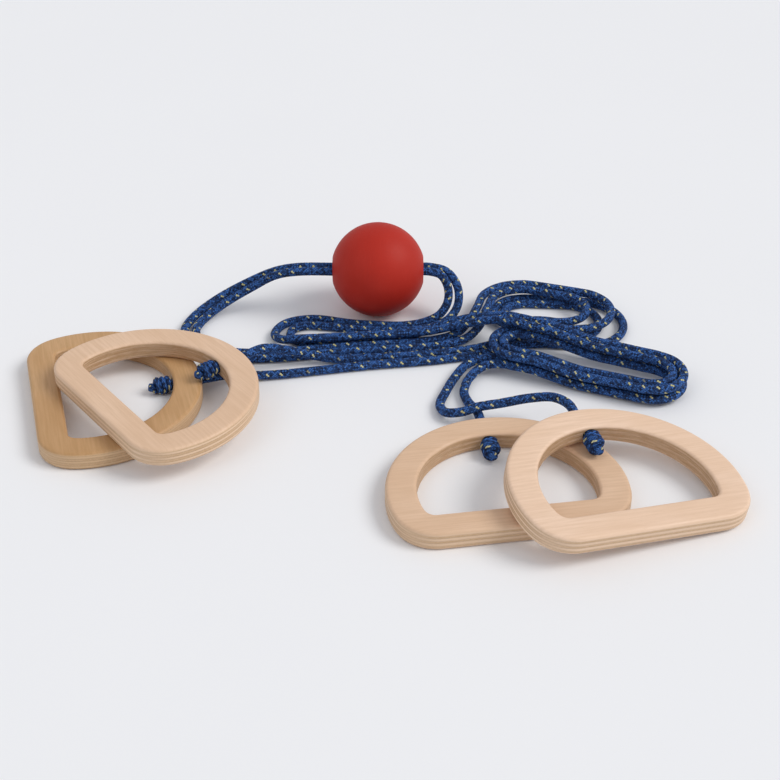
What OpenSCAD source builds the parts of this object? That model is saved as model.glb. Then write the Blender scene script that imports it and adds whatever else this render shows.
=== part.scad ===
// Zoom ball: a wooden ball that runs on two long cords, with a D-shaped
// plywood handle at each of the four cord ends. It lies as put down after
// play: two handles stacked at each side, the spare cord in a loose pile.

/* [Ball] */
// Diameter of the ball
ball_d = 55; // [45:0.5:65]
// Diameter of the hole through the ball
ball_bore_d = 12; // [11.5:0.1:16]
// Depth of the rounding at each mouth of the hole
ball_mouth = 1.5; // [0.5:0.1:3]

/* [Handle] */
// Overall width of a handle, side to side
handle_w = 118; // [108:1:130]
// How much the radius of the top arc exceeds half the width
arc_extra = 0.5; // [0.3:0.1:2]
// From the centre of the top arc to the outer edge of the grip bar
bar_reach = 30.5; // [28:0.5:34]
// Radius of the two sides
side_r = 32.5; // [30:0.5:36]
// Outer radius of the two corners beside the grip bar
corner_r = 20.5; // [18:0.5:22]
// Width of the wooden band all round the opening
band_w = 15.5; // [12:0.5:17]
// Thickness of the plywood
ply_t = 10; // [8:0.5:12]
// Radius that eases the band's long edges
edge_r = 2; // [0.5:0.1:3.5]
// Diameter of the cord hole through the top arc
cord_hole_d = 6; // [5.6:0.1:8]
// Depth of the chamfer at each mouth of the cord hole
hole_mouth = 0.8; // [0.3:0.1:1.5]

/* [Cord] */
// Diameter of the braided cord
cord_d = 5; // [4.4:0.1:5.2]
// Gap between the two cords side by side in the ball
cord_pair_gap = 0.6; // [0.3:0.1:0.8]
// Outer diameter of a stopper knot
knot_d = 9.8; // [9:0.1:10]
// Step from one wrap of a knot to the next
knot_step = 2.9; // [2.6:0.1:3.4]
// Cord left over past a knot
knot_tail = 2; // [1:0.5:8]

/* [Round loops] */
// Straight run across the largest round loop
round_run = 36; // [32:1:38]
// End radius of the largest round loop
round_r = 28; // [27:0.5:29]
// Step between neighbouring round loops
round_step = 6.2; // [6.1:0.1:6.5]
// How much shorter each next loop is
round_taper = 8; // [6:0.5:9]
// Rise from the first layer of round loops to the second
round_lift = 6.2; // [6:0.1:6.6]

/* [Long loops] */
// Straight run of the long loops
long_run = 74; // [68:1:76]
// End radius of the outer long loops
long_r = 16.5; // [16:0.5:17]
// Step between the outer and the inner long loops
long_step = 5.8; // [5.7:0.1:6.2]
// Rise of a long loop in one turn
long_climb = 6.2; // [6:0.1:6.6]

/* [Clearances] */
// Gap between two handles that lie on each other
stack_gap = 0.3; // [0.2:0.05:0.6]
// Gap between a stopper knot and the handle's inner edge
knot_gap = 0.3; // [0.2:0.05:0.6]

/* [Hidden] */

// Colours
red = [0.70, 0.17, 0.14];
birch = [0.85, 0.70, 0.50];
blue = [0.10, 0.20, 0.48];
navy = [0.07, 0.14, 0.36];

// Smoothness of true round shapes
$fn = 96;

// Derived sizes of the handle. Its own origin is the centre of the top arc.
arc_r = handle_w / 2 + arc_extra;
side_x = handle_w / 2 - side_r;
side_y = -sqrt(pow(arc_r - side_r, 2) - side_x * side_x);
corner_y = corner_r - bar_reach;
corner_x = side_x + sqrt(pow(side_r - corner_r, 2) - pow(corner_y - side_y, 2));
half_turn = 180;
arc_from = atan2(side_y, side_x);
side_from = atan2(corner_y - side_y, corner_x - side_x);
knot_len = 2 * knot_step + cord_d;
knot_y = arc_r - band_w - knot_gap - knot_len / 2;

// Where each handle lies: the place of its origin and its turn. The upper
// one on the right leans on the lower one, whose edge it meets at lean_run
// from the table's end of its slope.
lean_run = 113.5;
lean_reach = 77.5;
lean = (ply_t + stack_gap) / lean_run;
left_lower_at = [-146, 4, 0];
left_lower_turn = [0, 0, -74];
left_upper_at = [-114, -10, ply_t + stack_gap];
left_upper_turn = [0, 0, -52];
right_lower_at = [71, -81, 0];
right_lower_turn = [0, 0, 9];
right_upper_at = [127, -88.2, lean * lean_reach];
right_upper_turn = [atan(lean), atan(lean), 19];
left_lower = [left_lower_at, left_lower_turn];
left_upper = [left_upper_at, left_upper_turn];
right_lower = [right_lower_at, right_lower_turn];
right_upper = [right_upper_at, right_upper_turn];

// Where the ball lies, with the cords straight through its hole
ball_x = 7;
ball_y = 103;
ball_at = [ball_x, ball_y, ball_d / 2];
run_left = -40;
run_right = 38;
pair_y = (cord_d + cord_pair_gap) / 2;

// Sides and rings of the cord solids
tube_sides = 8;
loop_sides = 6;
loop_rings = 24;
loop_turns = 1.75;
straight = cord_d;
rest_z = cord_d / 2;

// Turning and placing
function turn_x(v, a) = [v.x, v.y * cos(a) - v.z * sin(a), v.y * sin(a) + v.z * cos(a)];
function turn_y(v, a) = [v.x * cos(a) + v.z * sin(a), v.y, v.z * cos(a) - v.x * sin(a)];
function turn_z(v, a) = [v.x * cos(a) - v.y * sin(a), v.x * sin(a) + v.y * cos(a), v.z];
function placed(v, at) = at[0] + turn_z(turn_y(turn_x(v, at[1].x), at[1].y), at[1].z);
function on_axis(at, y) = placed([0, y, ply_t / 2], at);
function unit(v) = v / norm(v);
function ease(x) = let (t = max(0, min(1, x))) t * t * (3 - 2 * t);

// One round of a loop with straight sides, u from 0 to 1, begun at the
// lower end of the right-hand turn
function lap(u, run, r) =
  let (f = u - floor(u), q = floor(4 * f), p = 4 * f - q)
  q == 0 ? [run / 2 + r * cos(half_turn * (p - 0.5)), r * sin(half_turn * (p - 0.5))] :
  q == 1 ? [run / 2 - run * p, r] :
  q == 2 ? [-run / 2 + r * cos(half_turn * (p + 0.5)), r * sin(half_turn * (p + 0.5))] :
           [-run / 2 + run * p, -r];

// Round loops: a flat spiral in on the floor and out again one layer up.
// Strand 0 is the outer of the two cords, strand 1 the inner.
round_at = [111, 88.5, 0];
round_turn = -12;
round_start = 0.89;
function round_point(strand, t) =
  let (half = loop_turns / 2,
       q = strand + 2 * (half - abs(t - half)),
       p = lap(round_start + t, round_run - round_taper * q, round_r - round_step * q),
       z = rest_z + round_lift * ease((t - half + 0.25) / 0.5))
  round_at + turn_z([p.x - round_taper / 2 * q, p.y, z], round_turn);

// Long loops: they come down turn by turn, over the two leads at one end
// and flat on the floor at the other
long_at = [122, 32.5, 0];
long_turn = -22.6;
long_start = 0.75;
over_leads = 4;
over_from = 2;
over_len = 30;
function long_point(strand, t) =
  let (p = lap(long_start + t, long_run, long_r - long_step * strand),
       z = rest_z + long_climb * (loop_turns - t) + over_leads * ease((over_from - p.x) / over_len))
  long_at + turn_z([p.x, -p.y, z], long_turn);

function loops(strand, long, rings) =
  [for (i = [0:loop_turns * rings])
    long ? long_point(strand, i / rings) : round_point(strand, i / rings)];

// Cord 1 runs from the lower left handle to the upper right one, cord 2
// from the upper left handle to the lower right one
round_1 = loops(0, false, loop_rings);
round_2 = loops(1, false, loop_rings);
long_1 = loops(1, true, loop_rings);
long_2 = loops(0, true, loop_rings);

// A straight end on a stretch, in line with the loops that it meets
function last(p) = p[len(p) - 1];
function before(p) = p[0] - straight * unit(p[1] - p[0]);
function after(p) = last(p) + straight * unit(last(p) - p[len(p) - 2]);

// The straight part of each cord past a handle and past the ball
out_left_lower = 15;
out_left_upper = 15;
out_right_lower = 12;
out_right_upper = 10;
knot_top = knot_y + knot_len / 2;
function start_at(at, out) = [on_axis(at, knot_top), on_axis(at, arc_r + out)];
function end_at(at, out) = [on_axis(at, arc_r + out), on_axis(at, knot_top)];
function ball_run(side) =
  [for (x = [run_left, run_right]) [x, ball_at.y + side * pair_y, ball_at.z]];
run_1 = ball_run(-1);
run_2 = ball_run(1);

// The rest of the way, by hand: each point is [x, y, height over lying flat]
function laid(p) = [for (q = p) q + [0, 0, rest_z]];
lead_1_way = [
  [-60, 27, 0.7], [-42, 30, 0], [0, 38, 0], [43, 44.6, 0], [67, 51, 0], [86, 59.3, 0]];
lead_2_way = [
  [-43.5, 39.5, 9.5], [-31, 43, 4], [-16, 44.6, 0.3], [30, 49, 0], [62, 56, 0], [82, 64.8, 0]];
return_1_way = [
  [59.5, 77.5, 4.9], [52, 69.3, 2], [38, 64.6, 0], [-10, 58.6, 0], [-52, 51.8, 0], [-75, 52.3, 0],
  [-90, 60, 0], [-98, 74, 0], [-94.5, 88, 0.5], [-83, 98.5, 5], [-67, 102.4, 13.5],
  [-53, 101.6, 21.8]];
return_2_way = [
  [65, 73.5, 3.7], [56.5, 64, 1.3], [39, 58.8, 0], [-10, 52.8, 0], [-52, 46, 0], [-78, 46.6, 0],
  [-95, 56, 0], [-104.5, 74, 0], [-101, 90, 0.5], [-88, 103.5, 5], [-69, 108.6, 13.8],
  [-53, 107.2, 21.8]];
outrun_1_way = [
  [44, 98.9, 23.2], [47.8, 95, 17.2], [47.5, 90.3, 10.3], [43, 86.4, 4.4], [34.5, 83.8, 0.9],
  [21, 81, 0], [-6, 83, 0], [-32, 88.4, 0], [-47, 83, 0], [-52.3, 71.5, 0.1], [-47.5, 61.6, 2.5],
  [-37, 57.6, 5.5], [-23, 58.8, 5.5], [15, 63, 5.3], [36, 65, 6.1], [57, 66, 10.3],
  [75, 63.4, 14.6]];
outrun_2_way = [
  [47.4, 103.8, 22.9], [53.4, 97, 16.8], [53.4, 88.5, 9.3], [47.5, 81.9, 3.5], [36, 77.4, 0.7],
  [22, 75.2, 0], [-6, 77.2, 0], [-24.5, 80.4, 0], [-34, 81.1, 0], [-40.8, 78, 0],
  [-43.4, 71.7, 0], [-40.8, 65.4, 0], [-34, 62.3, 0], [-24.5, 62.4, 0], [5, 66.2, 0],
  [24, 68.6, 0.5], [41, 71.8, 5.1], [60, 72.2, 10.5], [79, 68.4, 14.5]];
tail_1_way = [
  [66.5, 39.8, 3.7], [56.5, 36, 1.9], [49.5, 25.5, 0.3], [43.5, 10, 0], [40.6, -0.5, 0],
  [43.6, -10.4, 1.9], [51.5, -14.8, 5.3], [60, -14.6, 8.3], [72, -13.5, 9.9], [87, -12, 12.1],
  [98.5, -15, 14.7]];
tail_2_way = [
  [67, 33, 3.5], [58.5, 25.5, 1.5], [54, 13, 0], [55.5, 2, 0.5]];

lead_1 = concat(start_at(left_lower, out_left_lower), laid(lead_1_way), [before(round_1)]);
lead_2 = concat(start_at(left_upper, out_left_upper), laid(lead_2_way), [before(round_2)]);
return_1 = concat([after(round_1)], laid(return_1_way), [run_1[0]]);
return_2 = concat([after(round_2)], laid(return_2_way), [run_2[0]]);
outrun_1 = concat([run_1[1]], laid(outrun_1_way), [before(long_1)]);
outrun_2 = concat([run_2[1]], laid(outrun_2_way), [before(long_2)]);
tail_1 = concat([after(long_1)], laid(tail_1_way), end_at(right_upper, out_right_upper));
tail_2 = concat([after(long_2)], laid(tail_2_way), end_at(right_lower, out_right_lower));

// A form together with its straight ends
function with_ends(p) = concat([before(p)], p, [after(p)]);

// The least gap of a form to itself, from each point to the stretches that
// are more than a third of a turn further on, and between two forms
function to_stretch(p, a, b) =
  let (t = max(0, min(1, ((p - a) * (b - a)) / ((b - a) * (b - a))))) norm(p - a - t * (b - a));
function self_gap(p) =
  min([for (i = [0:len(p) - 1], j = [0:len(p) - 2])
    if (abs(j - i) > loop_rings / 3) to_stretch(p[i], p[j], p[j + 1])]) - cord_d;
function pair_gap(p, q) =
  min([for (i = [0:len(p) - 1], j = [0:len(q) - 2]) to_stretch(p[i], q[j], q[j + 1])]) - cord_d;
function sum_of(v) = v * [for (x = v) 1];
function path_len(p) = sum_of([for (i = [1:len(p) - 1]) norm(p[i] - p[i - 1])]);
echo(round_gaps = [self_gap(with_ends(round_1)), self_gap(with_ends(round_2))]);
echo(long_gaps = [self_gap(with_ends(long_1)), self_gap(with_ends(long_2))]);
echo(gaps_between_cords = [pair_gap(round_1, round_2), pair_gap(long_1, long_2)]);
echo(cord_1_length = path_len(concat(lead_1, round_1, return_1, outrun_1, long_1, tail_1)));
echo(cord_2_length = path_len(concat(lead_2, round_2, return_2, outrun_2, long_2, tail_2)));

// A tube swept along points: rings square to the path, with the two end
// rings square to the given directions
function heading(p, i, from, to) =
  i == 0 ? from : i == len(p) - 1 ? to : unit(unit(p[i + 1] - p[i]) + unit(p[i] - p[i - 1]));
function ring(c, dir, r, sides) =
  let (u = unit(cross(dir, [0, 0, 1])), v = cross(u, dir))
  [for (k = [0:sides - 1]) c + r * (cos(360 * k / sides) * u + sin(360 * k / sides) * v)];
module tube(p, sides, from, to) {
  n = len(p);
  points = [for (i = [0:n - 1], q = ring(p[i], heading(p, i, from, to), cord_d / 2, sides)) q];
  side_faces = [for (i = [0:n - 2], k = [0:sides - 1], half = [0, 1])
    let (a = i * sides + k, b = i * sides + (k + 1) % sides)
    half == 0 ? [a, b, b + sides] : [a, b + sides, a + sides]];
  start_face = [for (k = [1:sides - 2]) [0, k + 1, k]];
  end_face = [for (k = [1:sides - 2]) [0, k, k + 1] + (n - 1) * sides * [1, 1, 1]];
  polyhedron(points = points, faces = concat(side_faces, start_face, end_face), convexity = 10);
}
function first_dir(p) = unit(p[1] - p[0]);
function last_dir(p) = unit(last(p) - p[len(p) - 2]);
along_x = [1, 0, 0];

module stretch(p, from, to) {
  color(blue) tube(p, tube_sides, from, to);
}
module looped(p) {
  color(blue) tube(with_ends(p), loop_sides, first_dir(p), last_dir(p));
}

module lie(at) {
  translate(at[0]) rotate(at[1]) children();
}

// One handle: a band with eased edges swept once round the D. Each frame
// is [centre, outer radius, angle], and each arc leaves its last to the next.
edge_steps = 2;
band_profile = [for (k = [0:3], i = [0:edge_steps])
  let (a = 90 * (k + i / edge_steps), side = k == 0 || k == 3 ? 1 : -1, face = k < 2 ? 1 : -1)
  [side * (band_w / 2 - edge_r) + edge_r * cos(a), face * (ply_t / 2 - edge_r) + edge_r * sin(a)]];
function arc_frames(c, r, from, to, steps, closed = 0) =
  [for (i = [0:steps - 1 + closed]) [c, r, from + (to - from) * i / steps]];
band_frames = concat(
  arc_frames([0, 0, 0], arc_r, arc_from, half_turn - arc_from, 40),
  arc_frames([-side_x, side_y, 0], side_r, half_turn - arc_from, half_turn - side_from, 2),
  arc_frames([-corner_x, corner_y, 0], corner_r, half_turn - side_from, 1.5 * half_turn, 9, closed = 1),
  arc_frames([corner_x, corner_y, 0], corner_r, -half_turn / 2, side_from, 9),
  arc_frames([side_x, side_y, 0], side_r, side_from, arc_from, 2));
function band_point(f, q) =
  f[0] + (f[1] - band_w / 2 + q.x) * [cos(f[2]), sin(f[2]), 0] + [0, 0, ply_t / 2 + q.y];
module band() {
  n = len(band_frames);
  m = len(band_profile);
  faces = [for (i = [0:n - 1], k = [0:m - 1], half = [0, 1])
    let (next = (i + 1) % n, a = i * m + k, b = i * m + (k + 1) % m,
         c = next * m + k, d = next * m + (k + 1) % m)
    half == 0 ? [a, b, d] : [a, d, c]];
  polyhedron(points = [for (f = band_frames, q = band_profile) band_point(f, q)],
    faces = faces, convexity = 10);
}
module cord_hole() {
  inner = arc_r - band_w;
  translate([0, inner - 2, ply_t / 2]) rotate([-90, 0, 0])
    cylinder(h = band_w + 4, d = cord_hole_d);
  translate([0, arc_r - hole_mouth, ply_t / 2]) rotate([-90, 0, 0])
    cylinder(h = 2 * hole_mouth, d1 = cord_hole_d, d2 = cord_hole_d + 4 * hole_mouth);
  translate([0, inner + hole_mouth, ply_t / 2]) rotate([90, 0, 0])
    cylinder(h = 2 * hole_mouth, d1 = cord_hole_d, d2 = cord_hole_d + 4 * hole_mouth);
}
module handle(at) {
  color(birch) lie(at) difference() {
    band();
    cord_hole();
  }
}

// A stopper knot: three wraps, with the cut end of the cord past it
module knot(at) {
  wrap_r = knot_d / 4;
  color(navy) lie(at) translate([0, knot_y, ply_t / 2]) rotate([-90, 0, 0]) {
    rotate_extrude() {
      for (i = [-1:1])
        translate([knot_d / 2 - wrap_r, i * knot_step]) circle(r = wrap_r, $fn = 24);
      translate([0, -knot_len / 2]) square([cord_d / 2, knot_len]);
      translate([0, -knot_step]) square([knot_d / 2 - wrap_r, 2 * knot_step]);
    }
    translate([0, 0, -knot_len / 2 - knot_tail]) cylinder(h = knot_tail + 1, d = cord_d, $fn = 24);
  }
}

module ball() {
  mouth_z = sqrt(pow(ball_d / 2, 2) - pow(ball_bore_d / 2, 2));
  color(red) translate(ball_at) rotate([0, 90, 0]) difference() {
    sphere(d = ball_d);
    cylinder(h = ball_d + 2, d = ball_bore_d, center = true);
    for (side = [0, half_turn])
      rotate([side, 0, 0]) translate([0, 0, mouth_z - ball_mouth])
        cylinder(h = 2 * ball_mouth, r1 = ball_bore_d / 2, r2 = ball_bore_d / 2 + 2 * ball_mouth);
  }
}

module handle_left_lower() { handle(left_lower); }
module handle_left_upper() { handle(left_upper); }
module handle_right_lower() { handle(right_lower); }
module handle_right_upper() { handle(right_upper); }
module knot_left_lower() { knot(left_lower); }
module knot_left_upper() { knot(left_upper); }
module knot_right_lower() { knot(right_lower); }
module knot_right_upper() { knot(right_upper); }
module cord_1_lead() { stretch(lead_1, first_dir(lead_1), first_dir(round_1)); }
module cord_2_lead() { stretch(lead_2, first_dir(lead_2), first_dir(round_2)); }
module cord_1_round_loops() { looped(round_1); }
module cord_2_round_loops() { looped(round_2); }
module cord_1_return() { stretch(return_1, last_dir(round_1), along_x); }
module cord_2_return() { stretch(return_2, last_dir(round_2), along_x); }
module cord_1_ball_run() { stretch(run_1, along_x, along_x); }
module cord_2_ball_run() { stretch(run_2, along_x, along_x); }
module cord_1_outrun() { stretch(outrun_1, along_x, first_dir(long_1)); }
module cord_2_outrun() { stretch(outrun_2, along_x, first_dir(long_2)); }
module cord_1_long_loops() { looped(long_1); }
module cord_2_long_loops() { looped(long_2); }
module cord_1_tail() { stretch(tail_1, last_dir(long_1), last_dir(tail_1)); }
module cord_2_tail() { stretch(tail_2, last_dir(long_2), last_dir(tail_2)); }

ball();
handle_left_lower();
handle_left_upper();
handle_right_lower();
handle_right_upper();
knot_left_lower();
knot_left_upper();
knot_right_lower();
knot_right_upper();
cord_1_lead();
cord_1_round_loops();
cord_1_return();
cord_1_ball_run();
cord_1_outrun();
cord_1_long_loops();
cord_1_tail();
cord_2_lead();
cord_2_round_loops();
cord_2_return();
cord_2_ball_run();
cord_2_outrun();
cord_2_long_loops();
cord_2_tail();
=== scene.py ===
"""A zoom ball as put down after play: a red ball on two blue cords, four plywood handles.

The ball, the handles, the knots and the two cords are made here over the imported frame,
with procedural materials. Lengths are written in millimetres and multiplied by MM.
"""

import math

import bmesh
import bpy
from mathutils import Euler, Matrix, Vector


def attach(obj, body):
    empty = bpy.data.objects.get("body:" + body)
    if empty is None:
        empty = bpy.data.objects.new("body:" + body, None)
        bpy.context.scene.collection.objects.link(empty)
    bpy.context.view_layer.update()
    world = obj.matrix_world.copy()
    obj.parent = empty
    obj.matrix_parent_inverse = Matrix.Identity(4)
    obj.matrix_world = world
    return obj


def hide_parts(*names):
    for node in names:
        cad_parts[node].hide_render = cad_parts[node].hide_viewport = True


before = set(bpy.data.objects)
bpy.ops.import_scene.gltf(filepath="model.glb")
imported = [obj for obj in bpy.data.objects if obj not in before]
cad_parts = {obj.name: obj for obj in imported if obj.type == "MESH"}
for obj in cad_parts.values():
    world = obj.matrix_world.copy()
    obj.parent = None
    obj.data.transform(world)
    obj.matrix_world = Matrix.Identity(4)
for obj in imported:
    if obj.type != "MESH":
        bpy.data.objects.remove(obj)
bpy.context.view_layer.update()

MM = 0.001

# Camera, where the pictured toy was seen from, and its tilt downwards
CAMERA_AT = (14, -620, 426.7)
CAMERA_TILT = 33.8
CAMERA_LENS = 65
SENSOR_WIDTH = 36

# Ball
BALL_R = 27.5
BALL_AT = (7, 103, 27.5)
BORE_R = 6
MOUTH_R = 1.5
MOUTH_STEPS = 8
BALL_STEPS = 64
BALL_SIDES = 128

# Handles: the top arc is centred on the handle's own origin
HANDLE_W = 118
ARC_R = HANDLE_W / 2 + 0.5
BAR_REACH = 30.5
SIDE_R = 32.5
CORNER_R = 20.5
BAND_W = 15.5
PLY_T = 10
PLIES = 7
EDGE_R = 2
GROOVE_DEPTH = 0.1
GROOVE_HALF = 0.12
CORD_HOLE_R = 3
HOLE_MOUTH = 0.8
HOLE_SIDES = 40
# A part of one side, so that no corner of the hole falls on a line of the band
HOLE_TURN = 0.3
EDGE_STEPS = 6
FLAT_PARTS = 4
ARC_STEPS = 96
SIDE_STEPS = 4
CORNER_STEPS = 18
SMOOTH_UP_TO = 35
# From one handle's part of the grain to the next handle's
OTHER_BOARD = Vector((230, 170, 0))
# How pale each handle's board is, from 0 to 1: partly each board's own tone, partly painted shade
# that darkens the two lower boards lying under the upper ones, most of all the lower left one
BOARD_TONE_AND_SHADE = {"left_lower": 0.0, "left_upper": 0.75, "right_lower": 0.68, "right_upper": 1.0}
STACK_GAP = 0.3
# The slope at which the upper right handle leans on the lower one
LEAN_RUN = 113.5
LEAN_REACH = 77.5
LEAN = (PLY_T + STACK_GAP) / LEAN_RUN
LEAN_DEG = math.degrees(math.atan(LEAN))
# Where each handle's origin lies, and its turn about X, Y and Z in degrees
HANDLES = {
    "left_lower": ((-146, 4, 0), (0, 0, -74)),
    "left_upper": ((-114, -10, PLY_T + STACK_GAP), (0, 0, -52)),
    "right_lower": ((71, -81, 0), (0, 0, 9)),
    "right_upper": ((127, -88.2, LEAN * LEAN_REACH), (LEAN_DEG, LEAN_DEG, 19)),
}

# Cords
CORD_D = 5
REST_Z = CORD_D / 2
STRAIGHT = CORD_D
CORD_PAIR_GAP = 0.6
PAIR_Y = (CORD_D + CORD_PAIR_GAP) / 2
# Where the straight through the ball starts and ends
RUN_LEFT = -40
RUN_RIGHT = 38
TUBE_SIDES = 30
TUBE_STEP = 0.75
STRANDS = 10
BRAID_STEP = 1.5
BRAID_DEPTH = 0.12

# Stopper knots
KNOT_D = 9.8
KNOT_STEP = 2.9
KNOT_GAP = 0.3
KNOT_LEN = 2 * KNOT_STEP + CORD_D
KNOT_Y = ARC_R - BAND_W - KNOT_GAP - KNOT_LEN / 2
KNOT_TAIL = 2
KNOT_STRAND_R = 2.35
KNOT_SIDES = 24
KNOT_WRAPS = 2.75
KNOT_POINTS = 66
# The share of its width that a strand keeps along the knot, pressed by its neighbours
KNOT_PRESS = 0.64
# The shares of its radius that the last rings of a knot's tail keep
SEALED_END = (0.97, 0.9, 0.74, 0.45)

# Colours of the cord: each between two tones; the navy also serves as painted shade in the gaps
# between strands
NAVY_AND_GAP_SHADE = (0.003, 0.010, 0.038), (0.005, 0.016, 0.058)
BRIGHT_BLUE = (0.035, 0.125, 0.40), (0.055, 0.180, 0.56)
FLECK_YELLOW = (0.56, 0.50, 0.17), (0.60, 0.58, 0.34)

# Colours of the wood: the first four each on the most golden and on the palest board; the golden
# end also carries the painted shade of the lower boards
GRAIN_LOW = (0.50, 0.295, 0.130), (0.77, 0.545, 0.385)
GRAIN_HIGH = (0.60, 0.365, 0.185), (0.87, 0.635, 0.475)
GRAIN_CLOUD = (0.40, 0.205, 0.070), (0.76, 0.520, 0.350)
EDGE_WOOD = (0.76, 0.550, 0.345), (0.85, 0.640, 0.460)
END_GRAIN = (0.50, 0.31, 0.16), (0.62, 0.42, 0.25)
GLUE = (0.26, 0.14, 0.06)
PORE = (0.42, 0.26, 0.14)
# Darker brown streaks on the inner walls of the opening
INNER_WALL_BROWN = (0.38, 0.205, 0.085)

# Colours of the ball
BALL_RED = (0.40, 0.017, 0.008), (0.49, 0.025, 0.012)
BARE_WOOD = (0.60, 0.36, 0.22)

# Light and table
SUN_SPREAD = 30
KEY_FROM = (0.95, -0.1, 0.95)
KEY_STRENGTH = 1.6
KEY_COLOR = (1, 0.98, 0.95)
FILL_FROM = (-0.9, -0.7, 1.1)
FILL_STRENGTH = 0.22
SKY_STRENGTH = 0.58
SKY_COLOR = (0.95, 0.96, 1, 1)
# How bright the camera sees the sky, so that it goes on from the table
SEEN_SKY = 0.88
TABLE_WHITE = (0.86, 0.87, 0.89), (0.89, 0.90, 0.92)
TABLE_HALF_M = 6

scene = bpy.context.scene
scene.view_settings.view_transform = "Standard"


def make_camera():
    """The photograph's view, with the camera level from side to side."""
    data = bpy.data.cameras.new("camera")
    data.lens = CAMERA_LENS
    data.sensor_width = SENSOR_WIDTH
    data.clip_start = 0.01
    data.clip_end = 20
    camera = bpy.data.objects.new("camera", data)
    camera.location = Vector(CAMERA_AT) * MM
    camera.rotation_euler = Euler((math.radians(90 - CAMERA_TILT), 0, 0))
    scene.collection.objects.link(camera)
    scene.camera = camera


make_camera()


# Places
def handle_matrix(place):
    at, turn = HANDLES[place]
    spin = Euler([math.radians(a) for a in turn], "XYZ").to_matrix().to_4x4()
    return Matrix.Translation(Vector(at)) @ spin


def on_axis(place, y):
    """A point of a handle's cord line, at y from the centre of its top arc."""
    return handle_matrix(place) @ Vector((0, y, PLY_T / 2))


def ease(x):
    """From 0 to 1 with a soft start and end."""
    t = min(max(x, 0), 1)
    return t * t * (3 - 2 * t)


# Cord routes, as in the CAD source
def lap(u, run, r):
    """One round of a loop with straight sides, u from 0 to 1."""
    quarter, part = divmod(4 * (u % 1), 1)
    if quarter == 0:
        a = math.pi * (part - 0.5)
        return run / 2 + r * math.cos(a), r * math.sin(a)
    if quarter == 1:
        return run / 2 - run * part, r
    if quarter == 2:
        a = math.pi * (part + 0.5)
        return -run / 2 + r * math.cos(a), r * math.sin(a)
    return -run / 2 + run * part, -r


def turned(x, y, z, degrees, at):
    """A point of a loop, turned about the loop's centre and moved to its place."""
    a = math.radians(degrees)
    return Vector((
        at[0] + x * math.cos(a) - y * math.sin(a),
        at[1] + x * math.sin(a) + y * math.cos(a),
        z))


LOOP_TURNS = 1.75
LOOP_RINGS = 24
ROUND_AT = (111, 88.5)
ROUND_TURN = -12
ROUND_START = 0.89
ROUND_RUN = 36
ROUND_R = 28
ROUND_STEP = 6.2
ROUND_TAPER = 8
ROUND_LIFT = 6.2
LONG_AT = (122, 32.5)
LONG_TURN = -22.6
LONG_START = 0.75
LONG_RUN = 74
LONG_R = 16.5
LONG_STEP = 5.8
LONG_CLIMB = 6.2
OVER_LEADS = 4
OVER_FROM = 2
OVER_LEN = 30


def round_point(strand, t):
    """Round loops: a flat spiral in on the table and out again one layer up."""
    half = LOOP_TURNS / 2
    q = strand + 2 * (half - abs(t - half))
    x, y = lap(ROUND_START + t, ROUND_RUN - ROUND_TAPER * q, ROUND_R - ROUND_STEP * q)
    z = REST_Z + ROUND_LIFT * ease((t - half + 0.25) / 0.5)
    return turned(x - ROUND_TAPER / 2 * q, y, z, ROUND_TURN, ROUND_AT)


def long_point(strand, t):
    """Long loops: they come down turn by turn, over the two leads at one end."""
    x, y = lap(LONG_START + t, LONG_RUN, LONG_R - LONG_STEP * strand)
    z = REST_Z + LONG_CLIMB * (LOOP_TURNS - t) + OVER_LEADS * ease((OVER_FROM - x) / OVER_LEN)
    return turned(x, -y, z, LONG_TURN, LONG_AT)


def loops(point, strand):
    count = int(LOOP_TURNS * LOOP_RINGS)
    return [point(strand, i / LOOP_RINGS) for i in range(count + 1)]


def with_ends(p):
    """A winding with the straight that it starts and ends with."""
    first = p[0] - STRAIGHT * (p[1] - p[0]).normalized()
    last = p[-1] + STRAIGHT * (p[-1] - p[-2]).normalized()
    return [first] + p + [last]


def laid(way):
    """A free way with its heights taken from the table to the cord's middle."""
    return [Vector(p) + Vector((0, 0, REST_Z)) for p in way]


LEAD_1 = [
    (-60, 27, 0.7), (-42, 30, 0), (0, 38, 0), (43, 44.6, 0), (67, 51, 0), (86, 59.3, 0)]
LEAD_2 = [
    (-43.5, 39.5, 9.5), (-31, 43, 4), (-16, 44.6, 0.3), (30, 49, 0), (62, 56, 0), (82, 64.8, 0)]
RETURN_1 = [
    (59.5, 77.5, 4.9), (52, 69.3, 2), (38, 64.6, 0), (-10, 58.6, 0), (-52, 51.8, 0),
    (-75, 52.3, 0), (-90, 60, 0), (-98, 74, 0), (-94.5, 88, 0.5), (-83, 98.5, 5),
    (-67, 102.4, 13.5), (-53, 101.6, 21.8)]
RETURN_2 = [
    (65, 73.5, 3.7), (56.5, 64, 1.3), (39, 58.8, 0), (-10, 52.8, 0), (-52, 46, 0),
    (-78, 46.6, 0), (-95, 56, 0), (-104.5, 74, 0), (-101, 90, 0.5), (-88, 103.5, 5),
    (-69, 108.6, 13.8), (-53, 107.2, 21.8)]
OUTRUN_1 = [
    (44, 98.9, 23.2), (47.8, 95, 17.2), (47.5, 90.3, 10.3), (43, 86.4, 4.4), (34.5, 83.8, 0.9),
    (21, 81, 0), (-6, 83, 0), (-32, 88.4, 0), (-47, 83, 0), (-52.3, 71.5, 0.1),
    (-47.5, 61.6, 2.5), (-37, 57.6, 5.5), (-23, 58.8, 5.5), (15, 63, 5.3), (36, 65, 6.1),
    (57, 66, 10.3), (75, 63.4, 14.6)]
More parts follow.
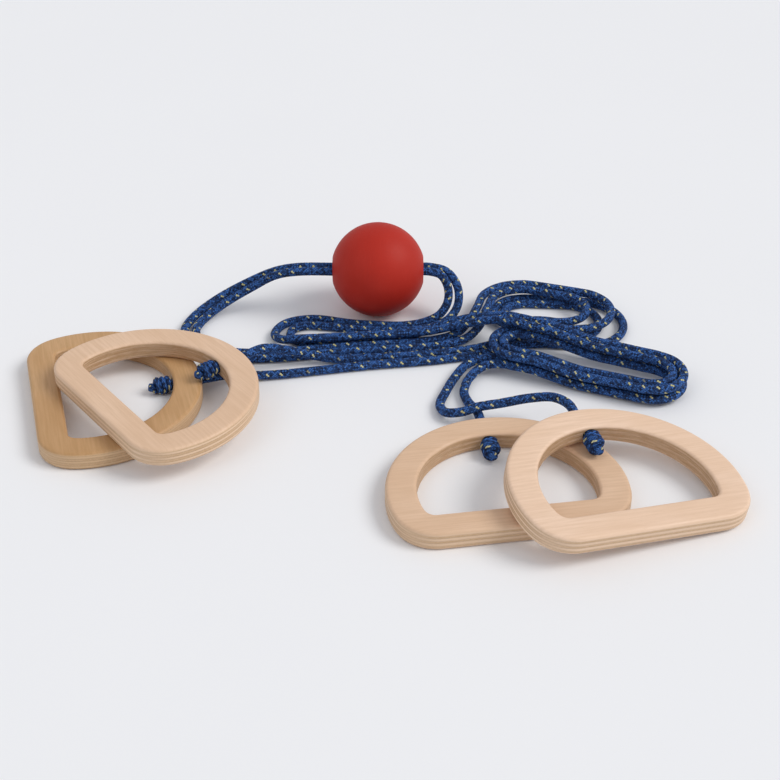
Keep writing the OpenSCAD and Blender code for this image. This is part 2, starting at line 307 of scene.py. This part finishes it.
OUTRUN_2 = [
    (47.4, 103.8, 22.9), (53.4, 97, 16.8), (53.4, 88.5, 9.3), (47.5, 81.9, 3.5),
    (36, 77.4, 0.7), (22, 75.2, 0), (-6, 77.2, 0), (-24.5, 80.4, 0), (-34, 81.1, 0),
    (-40.8, 78, 0), (-43.4, 71.7, 0), (-40.8, 65.4, 0), (-34, 62.3, 0), (-24.5, 62.4, 0),
    (5, 66.2, 0), (24, 68.6, 0.5), (41, 71.8, 5.1), (60, 72.2, 10.5), (79, 68.4, 14.5)]
TAIL_1 = [
    (66.5, 39.8, 3.7), (56.5, 36, 1.9), (49.5, 25.5, 0.3), (43.5, 10, 0), (40.6, -0.5, 0),
    (43.6, -10.4, 1.9), (51.5, -14.8, 5.3), (60, -14.6, 8.3), (72, -13.5, 9.9), (87, -12, 12.1),
    (98.5, -15, 14.7)]
TAIL_2 = [
    (67, 33, 3.5), (58.5, 25.5, 1.5), (54, 13, 0), (55.5, 2, 0.5)]

# Each cord: its first and last handle with the straight past each, its side
# of the hole in the ball, its place in the two kinds of loops, its free ways
CORDS = {
    "cord_1": dict(
        ends=(("left_lower", 15), ("right_upper", 10)), side=-1, round=0, long=1,
        ways=(LEAD_1, RETURN_1, OUTRUN_1, TAIL_1)),
    "cord_2": dict(
        ends=(("left_upper", 15), ("right_lower", 12)), side=1, round=1, long=0,
        ways=(LEAD_2, RETURN_2, OUTRUN_2, TAIL_2)),
}
KNOT_TOP = KNOT_Y + KNOT_LEN / 2


def route(spec):
    """All points of a cord from knot to knot."""
    (first, out), (last, back) = spec["ends"]
    lead, back_way, outrun, tail = [laid(way) for way in spec["ways"]]
    y = BALL_AT[1] + spec["side"] * PAIR_Y
    run = [Vector((x, y, BALL_AT[2])) for x in (RUN_LEFT, -10, 20, RUN_RIGHT)]
    return (
        [on_axis(first, KNOT_TOP), on_axis(first, ARC_R), on_axis(first, ARC_R + out)]
        + lead + with_ends(loops(round_point, spec["round"]))
        + back_way + run + outrun
        + with_ends(loops(long_point, spec["long"]))
        + tail + [on_axis(last, ARC_R + back), on_axis(last, ARC_R), on_axis(last, KNOT_TOP)])


def smooth_line(points, step):
    """A centripetal Catmull-Rom curve through points, then even steps along it."""
    p = [2 * points[0] - points[1]] + points + [2 * points[-1] - points[-2]]
    dense = []
    for a, b, c, d in zip(p, p[1:], p[2:], p[3:]):
        ta, tb, tc = [math.sqrt((n - m).length) for m, n in ((a, b), (b, c), (c, d))]
        m1 = (c - b) + tb * ((b - a) / ta - (c - a) / (ta + tb))
        m2 = (c - b) + tb * ((d - c) / tc - (d - b) / (tb + tc))
        count = max(2, int((c - b).length / 0.5))
        for i in range(count):
            s = i / count
            dense.append(
                (2 * s**3 - 3 * s**2 + 1) * b + (s**3 - 2 * s**2 + s) * m1
                + (3 * s**2 - 2 * s**3) * c + (s**3 - s**2) * m2)
    dense.append(points[-1])
    for q in dense:
        q.z = max(q.z, REST_Z)
    return even(dense, step)


def even(line, step):
    """The same line with its points about one step apart."""
    lengths = [0.0]
    for a, b in zip(line, line[1:]):
        lengths.append(lengths[-1] + (b - a).length)
    count = max(2, round(lengths[-1] / step))
    out, j = [], 0
    for i in range(count + 1):
        want = lengths[-1] * i / count
        while j < len(line) - 2 and lengths[j + 1] < want:
            j += 1
        span = lengths[j + 1] - lengths[j] or 1
        out.append(line[j].lerp(line[j + 1], (want - lengths[j]) / span))
    return out


def braid_height(u, v):
    """How far the strand on top stands out: u in turns, v in millimetres."""
    a = STRANDS * u + v / BRAID_STEP
    b = STRANDS * u - v / BRAID_STEP
    on_top = a if (math.floor(a) + math.floor(b)) % 2 == 0 else b
    return math.sin(math.pi * (on_top % 1))


def new_object(name, mesh):
    obj = bpy.data.objects.new(name, mesh)
    scene.collection.objects.link(obj)
    return obj


def tube_mesh(name, line, radius, sides=TUBE_SIDES, side_axis=None, press=1.0, narrowing=()):
    """A braided tube along a line, with UVs in turns round and millimetres along.

    Where a side axis is given, the tube is pressed flatter along it. The last
    rings are drawn in to the shares in narrowing, which rounds a sealed end.
    """
    bm = bmesh.new()
    uv = bm.loops.layers.uv.new("braid")
    rings, along = [], [0.0]
    for i, c in enumerate(line):
        ahead = line[min(i + 1, len(line) - 1)] - line[max(i - 1, 0)]
        t = ahead.normalized()
        if side_axis is None:
            u_dir = t.cross(Vector((0, 0, 1))).normalized()
            wide = 1.0
        else:
            u_dir = (side_axis - t * side_axis.dot(t)).normalized()
            wide = press + (1 - press) * abs(t.dot(side_axis))
        v_dir = u_dir.cross(t)
        if i:
            along.append(along[-1] + (c - line[i - 1]).length)
        ring = []
        for k in range(sides):
            a = 2 * math.pi * k / sides
            r = radius - BRAID_DEPTH * (1 - braid_height(k / sides, along[i]))
            if i >= len(line) - len(narrowing):
                r *= narrowing[i - len(line)]
            p = c + r * (wide * math.cos(a) * u_dir + math.sin(a) * v_dir)
            ring.append(bm.verts.new(p * MM))
        rings.append(ring)
    for i in range(len(rings) - 1):
        for k in range(sides):
            n = (k + 1) % sides
            face = bm.faces.new((rings[i][k], rings[i][n], rings[i + 1][n], rings[i + 1][k]))
            face.smooth = True
            spots = ((k, i), (k + 1, i), (k + 1, i + 1), (k, i + 1))
            for loop, (ku, iv) in zip(face.loops, spots):
                loop[uv].uv = (ku / sides, along[iv])
    for i, order in ((0, 1), (-1, -1)):
        cap = bm.faces.new(rings[i][::order])
        for loop in cap.loops:
            loop[uv].uv = (0, along[i])
    bmesh.ops.recalc_face_normals(bm, faces=bm.faces)
    mesh = bpy.data.meshes.new(name)
    bm.to_mesh(mesh)
    bm.free()
    return mesh


# Materials are built from small sums of nodes
class Nodes:
    """Makes nodes in one material, with plain numbers or sockets as inputs."""

    def __init__(self, name):
        self.material = bpy.data.materials.new(name)
        self.material.use_nodes = True
        self.tree = self.material.node_tree
        self.shader = self.tree.nodes["Principled BSDF"]

    def put(self, socket, value):
        """Links a socket or sets a value; a colour is written without its alpha."""
        if isinstance(value, bpy.types.NodeSocket):
            self.tree.links.new(value, socket)
        elif socket.type == "RGBA":
            socket.default_value = (*value, 1)
        elif value is not None:
            socket.default_value = value

    def math(self, op, a, b=None, c=None):
        node = self.tree.nodes.new("ShaderNodeMath")
        node.operation = op
        for socket, value in zip(node.inputs, (a, b, c)):
            self.put(socket, value)
        return node.outputs[0]

    def plus(self, a, b):
        return self.math("ADD", a, b)

    def minus(self, a, b):
        return self.math("SUBTRACT", a, b)

    def times(self, a, b):
        return self.math("MULTIPLY", a, b)

    def near(self, a, b, reach):
        """1 where a is within reach of b, and 0 elsewhere."""
        return self.math("COMPARE", a, b, reach)

    def pick(self, share, a, b):
        """The number a where share is 0, and b where it is 1."""
        return self.plus(self.times(b, share), self.times(a, self.minus(1, share)))

    def between(self, value, low, high, to_low=0.0, to_high=1.0):
        """A soft step: to_low where the value is at low, to_high where it is at high."""
        node = self.tree.nodes.new("ShaderNodeMapRange")
        node.interpolation_type = "SMOOTHSTEP"
        for i, v in enumerate((value, low, high, to_low, to_high)):
            self.put(node.inputs[i], v)
        return node.outputs[0]

    def mix(self, share, a, b):
        """The colour a where share is 0, and b where it is 1."""
        node = self.tree.nodes.new("ShaderNodeMix")
        node.data_type = "RGBA"
        self.put(node.inputs[0], share)
        self.put(node.inputs[6], a)
        self.put(node.inputs[7], b)
        return node.outputs[2]

    def noise(self, vector, scale, detail=3.0, roughness=0.5):
        node = self.tree.nodes.new("ShaderNodeTexNoise")
        self.put(node.inputs["Vector"], vector)
        self.put(node.inputs["Scale"], scale)
        self.put(node.inputs["Detail"], detail)
        self.put(node.inputs["Roughness"], roughness)
        return node.outputs["Fac"]

    def grain(self, vector, factors, detail=3.0, roughness=0.5):
        """Noise drawn out along the axes whose factors are small."""
        node = self.tree.nodes.new("ShaderNodeVectorMath")
        node.operation = "MULTIPLY"
        self.put(node.inputs[0], vector)
        self.put(node.inputs[1], factors)
        return self.noise(node.outputs[0], 1.0, detail, roughness)

    def attribute(self, name, output="Vector"):
        node = self.tree.nodes.new("ShaderNodeAttribute")
        node.attribute_name = name
        return node.outputs[output]

    def object_place(self):
        return self.tree.nodes.new("ShaderNodeTexCoord").outputs["Object"]

    def random(self, x, y):
        """A fixed random number for each pair of whole numbers."""
        join = self.tree.nodes.new("ShaderNodeCombineXYZ")
        self.put(join.inputs[0], x)
        self.put(join.inputs[1], y)
        node = self.tree.nodes.new("ShaderNodeTexWhiteNoise")
        node.noise_dimensions = "2D"
        self.put(node.inputs["Vector"], join.outputs[0])
        return node.outputs["Value"]

    def split(self, vector):
        node = self.tree.nodes.new("ShaderNodeSeparateXYZ")
        self.put(node.inputs[0], vector)
        return node.outputs

    def bump(self, height, distance):
        node = self.tree.nodes.new("ShaderNodeBump")
        self.put(node.inputs["Height"], height)
        node.inputs["Distance"].default_value = distance
        node.inputs["Strength"].default_value = 1.0
        self.tree.links.new(node.outputs[0], self.shader.inputs["Normal"])

    def finish(self, color, roughness, **others):
        self.put(self.shader.inputs["Base Color"], color)
        self.put(self.shader.inputs["Roughness"], roughness)
        for name, value in others.items():
            self.put(self.shader.inputs[name.replace("_", " ")], value)
        return self.material


def cord_material():
    """A braid in two tones of blue with painted shade in the gaps between strands, and pale flecks
    at even steps round and along.
    """
    n = Nodes("cord_braid")
    uv = n.tree.nodes.new("ShaderNodeUVMap")
    uv.uv_map = "braid"
    u, v = n.split(uv.outputs[0])[:2]

    # The two sets of strands, as in braid_height: which one is on top in each cell
    round_part = n.times(u, STRANDS)
    along = n.math("DIVIDE", v, BRAID_STEP)
    a = n.plus(round_part, along)
    b = n.minus(round_part, along)
    cell_a = n.math("FLOOR", a)
    cell_b = n.math("FLOOR", b)
    odd = n.math("FLOORED_MODULO", n.plus(cell_a, cell_b), 2)
    across_a = n.math("FRACT", a)
    across_b = n.math("FRACT", b)
    across = n.pick(odd, across_a, across_b)
    other = n.pick(odd, across_b, across_a)

    # The strand's rounding, and the fine yarns along it
    strand = n.math("SINE", n.times(across, math.pi))
    crown = n.math("SINE", n.times(other, math.pi))
    height = n.times(strand, n.plus(0.5, n.times(crown, 0.5)))
    yarn = n.math("SINE", n.times(across, math.pi * 12))

    # Flecks two cells long, one in each block of half the strands, some left out
    half = STRANDS / 2
    fleck_a = n.near(n.math("FLOORED_MODULO", cell_a, half), 0, 0.1)
    fleck_b = n.near(n.math("FLOORED_MODULO", cell_b, half), 0.5, 0.6)
    fleck_draw = n.random(n.math("FLOOR", n.math("DIVIDE", cell_a, half)),
                          n.math("FLOOR", n.math("DIVIDE", cell_b, half)))
    fleck = n.times(n.times(fleck_a, fleck_b),
                    n.times(n.between(height, 0.1, 0.35), n.between(fleck_draw, 0.38, 0.46)))

    # Painted shade: navy in the gaps between strands, rising to each cell's own tone of blue on the
    # strand crowns
    dye = n.grain(n.object_place(), (70, 70, 70))
    tone = n.plus(n.times(odd, 0.2), n.times(n.between(n.random(cell_a, cell_b), 0.25, 0.85), 0.8))
    blue = n.mix(n.times(n.between(height, 0.05, 0.6), tone),
                 n.mix(dye, *NAVY_AND_GAP_SHADE), n.mix(dye, *BRIGHT_BLUE))
    color = n.mix(fleck, blue, n.mix(fleck_draw, *FLECK_YELLOW))
    n.bump(n.plus(height, n.times(yarn, 0.08)), 0.0002)
    return n.finish(color, 0.62, Specular_IOR_Level=0.2)


def ply_material():
    """Plywood: long grain on the faces, plies and glue on the walls, darker brown streaks on the
    inner walls.
    """
    n = Nodes("handle_plywood")
    place = n.attribute("place")
    across = n.attribute("across", "Fac")
    end_on = n.attribute("end_on", "Fac")
    pale = n.attribute("pale", "Fac")
    z = n.split(place)[2]

    # Which ply a point is in, counted upwards, with joints that waver a little
    inside = n.math("MINIMUM", n.math("MAXIMUM", z, 0.2), PLY_T - 0.5)
    ply = n.plus(n.times(inside, PLIES / PLY_T), n.times(n.grain(place, (0.05, 0.05, 0.05)), 0.14))
    from_middle = n.math("ABSOLUTE", n.minus(n.math("FLOORED_MODULO", ply, 2), 1.5))
    odd = n.between(from_middle, 0.52, 0.22)

    # What shows on the walls alone
    wall = n.times(n.between(z, 0.6, 1.6), n.between(z, PLY_T - 0.6, PLY_T - 1.6))
    end_grain = n.times(n.pick(end_on, odd, n.minus(1, odd)), wall)
    glue = n.times(n.minus(1, n.between(n.math("PINGPONG", ply, 0.5), 0.0, 0.08)), wall)
    inner = n.times(n.between(across, 0.86, 0.97), wall)

    long_grain = n.grain(place, (0.035, 0.7, 0.7), 5.0, 0.62)
    cross_grain = n.grain(place, (0.9, 0.9, 2.2), 4.0, 0.6)
    pores = n.grain(place, (0.22, 3.6, 3.6), 2.0)
    clouds = n.grain(place, (0.02, 0.035, 0.03), 2.0)
    inner_streaks = n.grain(place, (0.10, 0.10, 1.6), 4.0, 0.65)

    # pale mixes each board's own tone with the painted shade that darkens the lower boards
    wood = n.mix(n.between(long_grain, 0.3, 0.7), n.mix(pale, *GRAIN_LOW), n.mix(pale, *GRAIN_HIGH))
    wood = n.mix(n.times(n.between(clouds, 0.35, 0.7), 0.45), wood, n.mix(pale, *GRAIN_CLOUD))
    color = n.mix(n.times(wall, 0.6), wood, n.mix(pale, *EDGE_WOOD))
    end_wood = n.mix(n.between(cross_grain, 0.3, 0.7), *END_GRAIN)
    color = n.mix(n.times(end_grain, 0.8), color, end_wood)
    color = n.mix(n.times(glue, 0.4), color, GLUE)
    color = n.mix(n.times(n.between(pores, 0.60, 0.76), 0.20), color, PORE)
    # Darker brown streaks on the inner walls of the opening
    inner_brown_share = n.times(inner, n.between(inner_streaks, 0.32, 0.68, 0.25, 0.75))
    color = n.mix(inner_brown_share, color, INNER_WALL_BROWN)
    n.bump(n.plus(n.times(long_grain, 0.6), n.times(n.minus(1, glue), 0.5)), 0.00010)
    rough = n.between(pores, 0.3, 0.8, 0.42, 0.58)
    return n.finish(color, rough, Coat_Weight=0.08, Coat_Roughness=0.35, Specular_IOR_Level=0.4)


def ball_material():
    """Red paint over turned wood, rubbed off in places at the mouths of the hole."""
    n = Nodes("ball_paint")
    place = n.attribute("place")
    blots = n.noise(place, 0.06, 4.0)
    turned_marks = n.grain(place, (2.4, 0.02, 0.02))
    peel = n.noise(place, 1.4, 2.0)
    y, z = n.split(place)[1:3]
    off_axis = n.math("SQRT", n.plus(n.times(y, y), n.times(z, z)))
    worn = n.times(n.between(off_axis, 7.6, 6.3), n.between(blots, 0.35, 0.6))
    color = n.mix(worn, n.mix(blots, *BALL_RED), BARE_WOOD)
    n.bump(n.plus(peel, n.times(turned_marks, 0.7)), 0.00008)
    rough = n.between(peel, 0.2, 0.8, 0.52, 0.62)
    return n.finish(color, rough, Coat_Weight=0.03, Coat_Roughness=0.4, Specular_IOR_Level=0.22)


def write_place(mesh):
    """Keeps each point's own place, in millimetres, for the materials to follow."""
    place = mesh.attributes.new("place", "FLOAT_VECTOR", "POINT")
    for i, v in enumerate(mesh.vertices):
        place.data[i].vector = v.co * (1 / MM)


def swept_mesh(name, rings):
    """A closed sweep: each ring joined to the next, and the last one to the first."""
    bm = bmesh.new()
    made = [[bm.verts.new(Vector(p) * MM) for p in ring] for ring in rings]
    for i in range(len(made)):
        here, there = made[i], made[(i + 1) % len(made)]
        for k in range(len(here)):
            n = (k + 1) % len(here)
            bm.faces.new((here[k], here[n], there[n], there[k])).smooth = True
    bmesh.ops.recalc_face_normals(bm, faces=bm.faces)
    mesh = bpy.data.meshes.new(name)
    bm.to_mesh(mesh)
    bm.free()
    return mesh


# One handle
def band_profile():
    """The band's section, from its outer side round, with a groove at each glue joint."""
    flat = PLY_T / 2 - EDGE_R
    side = BAND_W / 2 - EDGE_R
    across = [side * (1 - 2 * i / FLAT_PARTS) for i in range(1, FLAT_PARTS)]
    points = []
    for corner in range(4):
        sx = 1 if corner in (0, 3) else -1
        sz = 1 if corner < 2 else -1
        for i in range(EDGE_STEPS + 1):
            a = math.pi / 2 * (corner + i / EDGE_STEPS)
            points.append((sx * side + EDGE_R * math.cos(a), sz * flat + EDGE_R * math.sin(a)))
        if corner == 0:
            points += [(x, PLY_T / 2) for x in across]
        if corner == 1:
            points += joint_lines(-BAND_W / 2, flat)
        if corner == 2:
            points += [(-x, -PLY_T / 2) for x in across]
    return points + joint_lines(BAND_W / 2, flat)[::-1]


def joint_lines(x, flat):
    """Shallow grooves where two plies meet, from the top down."""
    inward = -math.copysign(GROOVE_DEPTH, x)
    out = []
    for i in range(PLIES - 1, 0, -1):
        z = PLY_T * i / PLIES - PLY_T / 2
        if abs(z) < flat - GROOVE_HALF:
            out += [(x, z + GROOVE_HALF), (x + inward, z), (x, z - GROOVE_HALF)]
    return out


def band_frames():
    """The outline's arcs in small steps: the arc's centre, its radius and the angle."""
    side_x = HANDLE_W / 2 - SIDE_R
    side_y = -math.sqrt((ARC_R - SIDE_R) ** 2 - side_x**2)
    corner_y = CORNER_R - BAR_REACH
    corner_x = side_x + math.sqrt((SIDE_R - CORNER_R) ** 2 - (corner_y - side_y) ** 2)
    arc_from = math.degrees(math.atan2(side_y, side_x))
    side_from = math.degrees(math.atan2(corner_y - side_y, corner_x - side_x))
    arcs = [
        ((0, 0), ARC_R, arc_from, 180 - arc_from, ARC_STEPS, 0),
        ((-side_x, side_y), SIDE_R, 180 - arc_from, 180 - side_from, SIDE_STEPS, 0),
        ((-corner_x, corner_y), CORNER_R, 180 - side_from, 270, CORNER_STEPS, 1),
        ((corner_x, corner_y), CORNER_R, -90, side_from, CORNER_STEPS, 0),
        ((side_x, side_y), SIDE_R, side_from, arc_from, SIDE_STEPS, 0),
    ]
    for centre, r, low, high, steps, closing in arcs:
        for i in range(steps + closing):
            yield centre, r, math.radians(low + (high - low) * i / steps)


def band_mesh(name):
    profile = band_profile()
    rings = []
    for (cx, cy), r, a in band_frames():
        rings.append([
            (cx + (r - BAND_W / 2 + px) * math.cos(a),
             cy + (r - BAND_W / 2 + px) * math.sin(a),
             PLY_T / 2 + pz)
            for px, pz in profile])
    return swept_mesh(name, rings)


def hole_cutter():
    """The cord hole with its two flared mouths, as a turned solid along +Y."""
    inner = ARC_R - BAND_W
    flare = CORD_HOLE_R + 2 * HOLE_MOUTH
    outline = [
        (inner - HOLE_MOUTH, flare), (inner + HOLE_MOUTH, CORD_HOLE_R),
        (ARC_R - HOLE_MOUTH, CORD_HOLE_R), (ARC_R + HOLE_MOUTH, flare)]
    bm = bmesh.new()
    rings = []
    for y, r in outline:
        ring = []
        for k in range(HOLE_SIDES):
            a = 2 * math.pi * (k + HOLE_TURN) / HOLE_SIDES
            ring.append(bm.verts.new(
                Vector((r * math.cos(a), y, PLY_T / 2 + r * math.sin(a))) * MM))
        rings.append(ring)
    for here, there in zip(rings, rings[1:]):
        for k in range(HOLE_SIDES):
            n = (k + 1) % HOLE_SIDES
            bm.faces.new((here[k], here[n], there[n], there[k]))
    bm.faces.new(rings[0])
    bm.faces.new(rings[-1])
    bmesh.ops.recalc_face_normals(bm, faces=bm.faces)
    mesh = bpy.data.meshes.new("hole_cutter")
    bm.to_mesh(mesh)
    bm.free()
    return new_object("hole_cutter", mesh)


def drilled_band():
    """The band with its cord hole, in the handle's own place."""
    band = new_object("band", band_mesh("band"))
    cutter = hole_cutter()
    cut = band.modifiers.new("cord_hole", "BOOLEAN")
    cut.operation = "DIFFERENCE"
    cut.solver = "EXACT"
    cut.object = cutter
    graph = bpy.context.evaluated_depsgraph_get()
    mesh = bpy.data.meshes.new_from_object(band.evaluated_get(graph))
    for obj in (band, cutter):
        bpy.data.objects.remove(obj)
    mesh.set_sharp_from_angle(angle=math.radians(SMOOTH_UP_TO))
    write_place(mesh)
    write_grain(mesh)
    return mesh


def write_grain(mesh):
    """How far in from the rim each point is, and how far it faces along the grain."""
    rim = [(Vector((cx + r * math.cos(a), cy + r * math.sin(a))) * MM, math.cos(a) ** 2)
           for (cx, cy), r, a in band_frames()]
    across = mesh.attributes.new("across", "FLOAT", "POINT")
    end_on = mesh.attributes.new("end_on", "FLOAT", "POINT")
    for i, v in enumerate(mesh.vertices):
        spot = v.co.to_2d()
        nearest, turned_to = min(((spot - p).length, c) for p, c in rim)
        across.data[i].value = nearest / (BAND_W * MM)
        end_on.data[i].value = turned_to


def make_handles(material):
    pattern = drilled_band()
    for number, place in enumerate(HANDLES):
        mesh = pattern.copy()
        for spot in mesh.attributes["place"].data:
            spot.vector = Vector(spot.vector) + number * OTHER_BOARD
        # Each board's paleness: its own tone, plus painted shade on the lower boards
        pale = mesh.attributes.new("pale", "FLOAT", "POINT")
        pale.data.foreach_set("value", [BOARD_TONE_AND_SHADE[place]] * len(mesh.vertices))
        matrix = handle_matrix(place)
        matrix.translation *= MM
        mesh.transform(matrix)
        mesh.materials.clear()
        mesh.materials.append(material)
        handle = new_object("ply_" + place, mesh)
        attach(handle, "handle_" + place)
        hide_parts("handle_" + place)


# The ball
def make_ball(material):
    """Turned about the X axis: the bore, its rounded mouths and the outside."""
    bore = [(x, BORE_R) for x in (-18, -9, 0, 9, 18)]
    mouth_x = math.sqrt((BALL_R - MOUTH_R) ** 2 - (BORE_R + MOUTH_R) ** 2)
    meet = math.atan2(BORE_R + MOUTH_R, mouth_x)
    mouth = []
    for i in range(MOUTH_STEPS + 1):
        a = -math.pi / 2 + (meet + math.pi / 2) * i / MOUTH_STEPS
        mouth.append((mouth_x + MOUTH_R * math.cos(a), BORE_R + MOUTH_R + MOUTH_R * math.sin(a)))
    outside = []
    for i in range(1, BALL_STEPS):
        a = meet + (math.pi - 2 * meet) * i / BALL_STEPS
        outside.append((BALL_R * math.cos(a), BALL_R * math.sin(a)))
    profile = bore + mouth + outside + [(-x, r) for x, r in reversed(mouth)]
    rings = []
    for k in range(BALL_SIDES):
        a = 2 * math.pi * k / BALL_SIDES
        rings.append([(x, r * math.cos(a), r * math.sin(a)) for x, r in profile])
    mesh = swept_mesh("painted_ball", rings)
    write_place(mesh)
    mesh.transform(Matrix.Translation(Vector(BALL_AT) * MM))
    mesh.materials.append(material)
    ball = new_object("painted_ball", mesh)
    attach(ball, "ball")
    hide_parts("ball")


# The stopper knots
def knot_line():
    """From the cord's end at +Y: nearly three wraps, then inwards and out as the tail."""
    r = KNOT_D / 2 - KNOT_STRAND_R
    top = KNOT_LEN / 2 - KNOT_PRESS * KNOT_STRAND_R
    line = [Vector((0, KNOT_LEN / 2, 0)), Vector((0.6, top + 0.6, 0))]
    for i in range(KNOT_POINTS + 1):
        a = 2 * math.pi * KNOT_WRAPS * i / KNOT_POINTS
        y = top - 2 * top * i / KNOT_POINTS
        line.append(Vector((r * math.cos(a), y, r * math.sin(a))))
    line.append(Vector((0, -KNOT_LEN / 2 + 0.6, -0.8)))
    line.append(Vector((0, -KNOT_LEN / 2 - KNOT_TAIL, 0)))
    line = even(line, 0.5)
    step = (line[-1] - line[-2]) / 2
    return line[:-1] + [line[-2] + step, line[-2] + 1.6 * step, line[-1]]


def make_knot(place, material):
    mesh = tube_mesh("knot", knot_line(), KNOT_STRAND_R, KNOT_SIDES,
                     Vector((0, 1, 0.02)), KNOT_PRESS, SEALED_END)
    matrix = handle_matrix(place) @ Matrix.Translation(Vector((0, KNOT_Y, PLY_T / 2)))
    matrix.translation *= MM
    mesh.transform(matrix)
    mesh.materials.append(material)
    knot = new_object("tied_knot_" + place, mesh)
    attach(knot, "cords")
    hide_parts("knot_" + place)
    return knot


def make_cords(material):
    for name, spec in CORDS.items():
        line = smooth_line(route(spec), TUBE_STEP)
        cord = new_object(name, tube_mesh(name, line, CORD_D / 2))
        cord.data.materials.append(material)
        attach(cord, "cords")
        parts = ("lead", "round_loops", "return", "ball_run", "outrun", "long_loops", "tail")
        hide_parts(*[name + "_" + part for part in parts])
        knots = [make_knot(place, material) for place, _ in spec["ends"]]


make_cords(cord_material())
make_handles(ply_material())
make_ball(ball_material())


# The table and the light
def soft_sun(name, come_from, strength, color=(1, 1, 1)):
    """Even light from one side, with soft shadows."""
    data = bpy.data.lights.new(name, "SUN")
    data.energy = strength
    data.angle = math.radians(SUN_SPREAD)
    data.color = color
    light = bpy.data.objects.new(name, data)
    light.rotation_euler = Vector(come_from).to_track_quat("Z", "Y").to_euler()
    scene.collection.objects.link(light)


def make_stage():
    half = TABLE_HALF_M
    mesh = bpy.data.meshes.new("table_top")
    corners = [(-half, -half, 0), (half, -half, 0), (half, half, 0), (-half, half, 0)]
    mesh.from_pydata(corners, [], [(0, 1, 2, 3)])
    n = Nodes("table_top")
    mottle = n.noise(n.object_place(), 3.0)
    n.finish(n.mix(mottle, *TABLE_WHITE), 0.7)
    mesh.materials.append(n.material)
    new_object("table_top", mesh)
    world = bpy.data.worlds.new("studio")
    world.use_nodes = True
    sky = world.node_tree.nodes["Background"]
    sky.inputs["Color"].default_value = SKY_COLOR
    seen = world.node_tree.nodes.new("ShaderNodeMapRange")
    seen.inputs["To Min"].default_value = SKY_STRENGTH
    seen.inputs["To Max"].default_value = SEEN_SKY
    path = world.node_tree.nodes.new("ShaderNodeLightPath")
    world.node_tree.links.new(path.outputs["Is Camera Ray"], seen.inputs["Value"])
    world.node_tree.links.new(seen.outputs["Result"], sky.inputs["Strength"])
    scene.world = world
    soft_sun("key", KEY_FROM, KEY_STRENGTH, KEY_COLOR)
    soft_sun("fill", FILL_FROM, FILL_STRENGTH)


make_stage()
